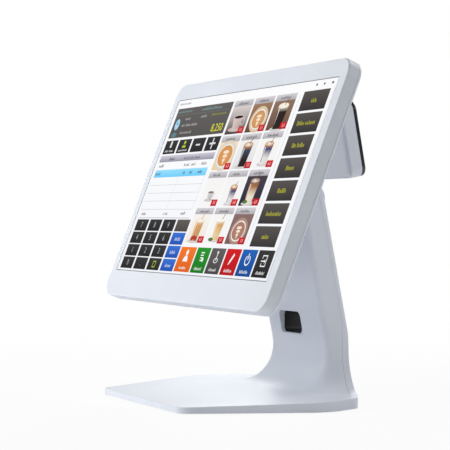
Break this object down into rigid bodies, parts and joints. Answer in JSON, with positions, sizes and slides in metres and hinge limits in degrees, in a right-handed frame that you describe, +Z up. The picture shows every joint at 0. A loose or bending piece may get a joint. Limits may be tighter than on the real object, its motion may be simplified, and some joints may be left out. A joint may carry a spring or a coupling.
{
  "type": "pos touchscreen terminal",
  "caption": "Countertop point-of-sale touchscreen terminal with a tilting widescreen head on an L-shaped stand and a customer display on its back.",
  "frame": {"origin": "on the counter, under the middle of the terminal's bounding box", "axes": "+Z up, -Y towards the operator (the screen's side), +X to the operator's right"},
  "size_m": [0.3706, 0.204, 0.3195],
  "materials": {
    "shell_white": "fine textured satin",
    "shell_shadow": "fine textured satin",
    "gasket_grey": "matt foam",
    "screen_glass": "polished, lit from behind",
    "black_glass": "polished black",
    "black_rubber": "matt",
    "foot_rubber": "matt",
    "bright_steel": "zinc plated",
    "ground_steel": "ground",
    "cast_weight": "painted casting",
    "cover_black": "fine texture",
    "aluminium_tray": "rolled",
    "panel_layers": "film stack",
    "board_green": "solder mask",
    "chip_black": "moulded",
    "socket_black": "moulded",
    "fin_aluminium": "anodised",
    "button_white": "satin"
  },
  "bodies": {
    "stand": {"stand_front_shell": "shell_white", "stand_rear_cover": "shell_white", "port_liner": "black_rubber", "base_weight": "cast_weight", "base_cover": "cover_black", "rubber_feet": "foot_rubber", "base_screws": "bright_steel", "neck_bracket": "bright_steel", "bracket_screws": "bright_steel", "hinge_blocks": "ground_steel", "hinge_block_screws": "bright_steel", "hinge_shaft": "ground_steel", "friction_washers": "ground_steel", "shaft_nuts": "bright_steel"},
    "head": {"front_bezel": "shell_white", "screen_gasket": "gasket_grey", "touch_glass": "screen_glass", "lcd_panel": "panel_layers", "lcd_back_plate": "aluminium_tray", "head_chassis": "bright_steel", "mainboard": "board_green", "processor": "ground_steel", "heatsink": "fin_aluminium", "memory_module": "board_green", "storage_drive": "chip_black", "coin_cell": "bright_steel", "standoffs": "bright_steel", "board_screws": "bright_steel", "speakers": "chip_black", "touch_controller": "board_green", "power_switch": "chip_black", "rear_shell": "shell_white", "shell_screws": "bright_steel", "io_plate": "bright_steel", "usb_sockets": "bright_steel", "serial_sockets": "socket_black", "network_socket": "bright_steel", "power_inlet": "socket_black", "hinge_bracket": "ground_steel", "chassis_screws": "bright_steel", "hinge_cover": "shell_shadow", "display_case": "shell_white", "display_glass": "black_glass", "display_module": "panel_layers", "display_board": "board_green", "display_mount": "shell_shadow", "display_screws": "bright_steel"},
    "button": {"power_button": "button_white"}
  },
  "joints": [
    {"name": "head_tilt", "type": "hinge", "parent": "stand", "child": "head", "pos_m": [0, 0.056, 0.196], "axis": [-1, 0, 0], "range_deg": [-17, 23]},
    {"name": "button_press", "type": "slide", "parent": "head", "child": "button", "axis": [1, 0, 0], "range_m": [0, 0.0009], "stiffness_N_per_m": 1500, "springref_m": -0.0005}
  ]
}
